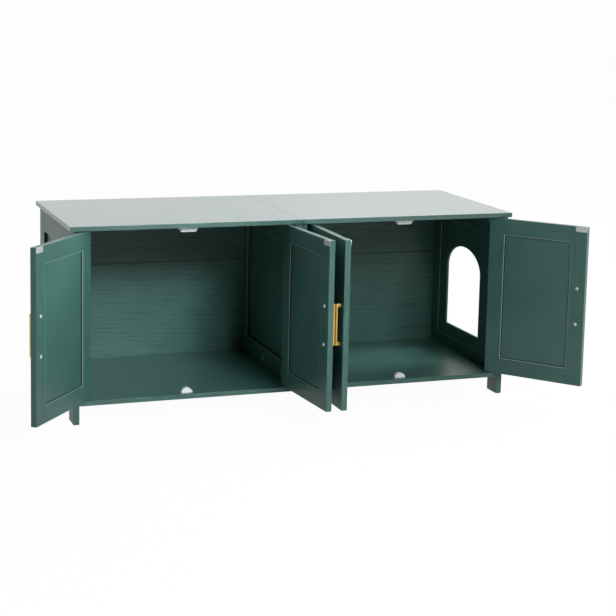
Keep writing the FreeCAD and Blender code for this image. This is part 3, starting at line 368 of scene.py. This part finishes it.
def framed(prefix, uprights, stand):
    """Paints one frame and its panel, with painted shade and a painted highlight at the step round the
    opening that its members leave.
    """
    stiles = seen_from(stand, *(f"{prefix}_{upright}" for upright in uprights))
    rails = seen_from(stand, f"{prefix}_rails")
    edges = widest_gap(stiles, 0), span(stiles, 1), widest_gap(rails, 2)
    middle = Vector([(low + high) / 2 for low, high in edges])
    half = Vector([(high - low) / 2 for low, high in edges])
    along = stand.inverted().to_euler()
    for title, members, run, relief, emboss in (("stiles", uprights, RUN_Z, 0.5, 0.14 * MM),
                                                ("rails", ("rails",), along, 0.5, 0.14 * MM),
                                                ("panel", ("panel",), RUN_Z, 0.12, 0.08 * MM)):
        paint = green_paint(f"green_{prefix}_{title}", run, relief, emboss)
        paint_step_light(paint, stand, middle, half)
        for member in members:
            finish(f"{prefix}_{member}", paint)


FRONT_TO_BACK = Matrix.Rotation(math.pi / 2, 4, "Z")
for hand in ("left", "right"):
    framed(f"side_{hand}", ("front_leg", "back_leg"), FRONT_TO_BACK)


# Base. Two boards, one in each bay, are held between the sides and the partition, and a foot under their
# joint takes the load in the middle. Their upper faces are smooth, so that they wipe clean.
base_paint = green_paint("green_base", RUN_X, relief=0.25, emboss=0.06 * MM)
finish("base_left", base_paint)
finish("base_right", base_paint)
finish("centre_foot", green_paint("green_foot", RUN_Z))


# Partition. A frame of two stiles and two rails round a panel, made as the sides are but thicker, because
# the inner doors turn on it from both sides.
framed("partition", ("front_stile", "back_stile"), FRONT_TO_BACK)


# Back wall. A lower and an upper board in each bay slide in grooves of the sides and the partition. Their
# grain lies level and is the deepest on the cabinet. A thin painted seal closes the joint between the two
# boards, and painted shade darkens a band along the joint.
JOINT_SHADE, PAINTED_JOINT_SHADE = 3 * MM, (0.008, 0.012, 0.010, 1)
joint_low, joint_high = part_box("back_lower_left")[1][2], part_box("back_upper_left")[0][2]
for number, name in enumerate(("lower_left", "lower_right", "upper_left", "upper_right")):
    paint = green_paint(f"green_back_{name}", RUN_X, relief=0.85, emboss=0.22 * MM, rough=0.40, fine=1.5,
                        rub_and_glint=0.0, shift=(0.31 * number, 0, 0.17 * number))
    tree = paint.node_tree
    skin = tree.nodes["Principled BSDF"].inputs["Base Color"]
    # Painted shade: a dark band that fades out from the middle of the joint.
    rise = shader(tree, "SeparateXYZ")
    tree.links.new(shader(tree, "TexCoord").outputs["Object"], rise.inputs[0])
    away = reckon(tree, "ABSOLUTE", reckon(tree, "SUBTRACT", rise.outputs["Z"], (joint_low + joint_high) / 2))
    joint_shaded = spread(tree, away, 0.0, JOINT_SHADE, 0.95, 0.0)
    tree.links.new(tinted(tree, joint_shaded, skin.links[0].from_socket, PAINTED_JOINT_SHADE), skin)
    finish(f"back_{name}", paint)


def raised(shape, thick):
    """Gives a flat outline its thickness."""
    lifted = bmesh.ops.extrude_face_region(shape, geom=shape.faces[:])["geom"]
    corners = [part for part in lifted if isinstance(part, bmesh.types.BMVert)]
    bmesh.ops.translate(shape, verts=corners, vec=(0, 0, thick))
    bmesh.ops.recalc_face_normals(shape, faces=shape.faces)


def softened(shape, edges, width):
    bmesh.ops.bevel(shape, geom=edges, offset=width, segments=2, affect="EDGES", profile=0.5, material=-1)


def link_piece(name, shape, body, material):
    mesh = bpy.data.meshes.new(name)
    shape.to_mesh(mesh)
    shape.free()
    piece = bpy.data.objects.new(name, mesh)
    bpy.context.scene.collection.objects.link(piece)
    mesh.materials.append(material)
    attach(piece, body)


# The seal is as thick as the joint, a little shorter than the boards, and set behind their front faces.
SEAL_DEPTH, SEAL_BEHIND, SEAL_SHORT = 2.2 * MM, 2.3 * MM, 1.8 * MM
seal_thick = joint_high - joint_low
seal_paint = green_paint("green_joint_seal", RUN_X, rub_and_glint=0.0)
for hand in ("left", "right"):
    board_low, board_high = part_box(f"back_lower_{hand}")
    length = board_high[0] - board_low[0] - 2 * SEAL_SHORT
    middle_x = (board_low[0] + board_high[0]) / 2
    shape = bmesh.new()
    bmesh.ops.create_grid(shape, x_segments=1, y_segments=1, size=0.5)
    bmesh.ops.scale(shape, verts=shape.verts, vec=(length, SEAL_DEPTH, 1))
    raised(shape, seal_thick)
    softened(shape, [edge for edge in shape.edges if edge.calc_length() > length / 2], seal_thick / 3)
    bmesh.ops.translate(shape, verts=shape.verts, vec=(middle_x, board_low[1] + SEAL_BEHIND, joint_low))
    link_piece(f"back_joint_seal_{hand}", shape, "cabinet", seal_paint)


# Doors. Four alike, each with two stiles and two rails grooved round a thin panel, which is set back on both
# faces. They hang on pins at the ends of their hinge stiles, and stand open at rest, which is one end of
# every hinge's range.
STANDS = {}
for hinge in frame["joints"]:
    pivot_x, pivot_y, _ = hinge["pos_m"]
    turn_to_close = math.radians(sum(hinge["range_deg"]))
    stand = Matrix.Translation((pivot_x, pivot_y, 0)) @ Matrix.Rotation(-turn_to_close, 4, "Z")
    framed(hinge["child"], ("hinge_stile", "handle_stile"), stand)
    STANDS[hinge["child"]] = stand


# Pulls. A flat bar of brass-coloured metal on two short posts, brushed along its length, is held by two
# screws through each free stile.
def metal(name, colour, roughness, brush, scratch):
    made, tree, shine = blank_finish(name)
    place = shader(tree, "TexCoord").outputs["Object"]
    lines = noise(tree, stretched(tree, place, brush), 1.0, 3.0, 0.6)
    cloud = noise(tree, place, 60.0, 3.0, 0.6)
    # Paler rims: partly rubbed metal, partly a painted highlight.
    rubbed_and_glint = grouped(tree, wear_and_glint, place, Width=0.6 * MM)["Rubbed Glint"]
    dark = tuple(0.72 * part for part in colour) + (1,)
    light = tuple(min(1.0, 1.15 * part + 0.05) for part in colour) + (1,)
    tone = tinted(tree, spread(tree, cloud, 0.2, 0.6), dark, colour + (1,))
    tree.links.new(tinted(tree, rubbed_and_glint, tone, light), shine.inputs["Base Color"])
    shine.inputs["Metallic"].default_value = 1.0
    tree.links.new(reckon(tree, "ADD", roughness, times(tree, lines, 0.16)), shine.inputs["Roughness"])
    pressed_in(tree, shine, lines, scratch, 0.6)
    return made


brass = metal("brushed_brass", (0.97, 0.60, 0.16), 0.28, (2600, 2600, 40), 0.03 * MM)
for door in STANDS:
    finish(f"{door}_handle", brass)


# Pivots. Each door turns on a steel pin at its top and foot, in flanged nylon bushes let into the top and
# the base.
def moulded(name, colour, shade, rough):
    made, tree, skin = blank_finish(name)
    place = shader(tree, "TexCoord").outputs["Object"]
    cloud = noise(tree, place, 140.0, 3.0, 0.6)
    tree.links.new(tinted(tree, spread(tree, cloud, 0.3, 0.7), shade, colour), skin.inputs["Base Color"])
    tree.links.new(spread(tree, cloud, 0.2, 0.8, rough - 0.06, rough + 0.08), skin.inputs["Roughness"])
    pressed_in(tree, skin, noise(tree, place, 2200.0), 0.04 * MM, 0.5)
    return made


finish("pivot_bushes", moulded("dark_nylon", (0.030, 0.033, 0.034, 1), (0.018, 0.02, 0.02, 1), 0.5))
zinc = metal("zinc_plate", (0.76, 0.77, 0.78), 0.42, (420, 420, 420), 0.02 * MM)
for door in STANDS:
    finish(f"{door}_pivot_pins", zinc)


# Catches and stops. A white plastic double catch under the top holds a magnet for each door of its bay, a
# steel strike plate on the door meets it, and a white half-round stop on the base meets the door's foot.
white = moulded("white_plastic", (0.88, 0.89, 0.88, 1), (0.80, 0.82, 0.82, 1), 0.34)
finish("magnetic_catches", white)
finish("door_stops", white)
finish("catch_magnets", zinc)
finish("catch_screws", zinc)
for door in STANDS:
    finish(f"{door}_strike_plate", zinc)


# Screws. Two pan heads hold each pull from inside the door and a countersunk one holds its strike plate, all
# bright zinc. A thin dark cross laid on each head, slightly sunk, is painted shade standing in for its
# recess.
bright = metal("bright_zinc", (0.96, 0.96, 0.96), 0.46, (300, 300, 300), 0.02 * MM)
# The dark cross on each head is painted shade for the recess.
cross_shade = metal("painted_shade_cross", (0.10, 0.10, 0.10), 0.5, (900, 900, 900), 0.02 * MM)
CROSS_THICK, CROSS_SUNK = 0.08 * MM, 0.03 * MM
PAN_CROSS, PLATE_CROSS = (4.2 * MM, 1.0 * MM), (3.4 * MM, 0.8 * MM)
PULL_POST = 8 * MM


def cross(width, arm):
    """A thin plus sign with softened corners, lying on z = 0."""
    shape = bmesh.new()
    bmesh.ops.create_grid(shape, x_segments=3, y_segments=3, size=width / 2)
    for corner in shape.verts:
        for axis in (0, 1):
            if abs(corner.co[axis]) < width / 3:
                corner.co[axis] = math.copysign(arm / 2, corner.co[axis])
    middles = {face: face.calc_center_median() for face in shape.faces}
    tips = [face for face, at in middles.items() if min(abs(at.x), abs(at.y)) > arm / 2]
    bmesh.ops.delete(shape, geom=tips, context="FACES")
    raised(shape, CROSS_THICK)
    upright_edges = [edge for edge in shape.edges
                     if abs(edge.verts[0].co.z - edge.verts[1].co.z) > CROSS_THICK / 2
                     and max(abs(edge.verts[0].co.x), abs(edge.verts[0].co.y)) > arm]
    softened(shape, upright_edges, arm * 0.22)
    return shape


for door, stand in STANDS.items():
    finish(f"{door}_screws", bright)
    parts = ("handle", "screws", "strike_plate")
    pull, screws, plate = (seen_from(stand, f"{door}_{part}") for part in parts)
    along, head, (low, high) = sum(span(pull, 0)) / 2, span(screws, 1)[1], span(pull, 2)
    crosses = (
        ("pull_cross_0", (along, head, low + PULL_POST / 2), PAN_CROSS),
        ("pull_cross_1", (along, head, high - PULL_POST / 2), PAN_CROSS),
        ("plate_cross", (sum(span(plate, 0)) / 2, span(plate, 1)[1], sum(span(plate, 2)) / 2), PLATE_CROSS),
    )
    for name, place, size in crosses:
        mark = cross(*size)
        lay = Matrix.Translation(place) @ Matrix.Rotation(-math.pi / 2, 4, "X")
        lay = stand @ Matrix.Translation((0, -CROSS_SUNK, 0)) @ lay
        bmesh.ops.transform(mark, matrix=lay, verts=mark.verts)
        link_piece(f"{door}_{name}", mark, door, cross_shade)


# Cam fittings. Zinc cams in the base, the rails and the top are turned with a screwdriver, and draw the
# boards together on steel bolts.
finish("cam_locks", zinc)
finish("cam_bolts", zinc)
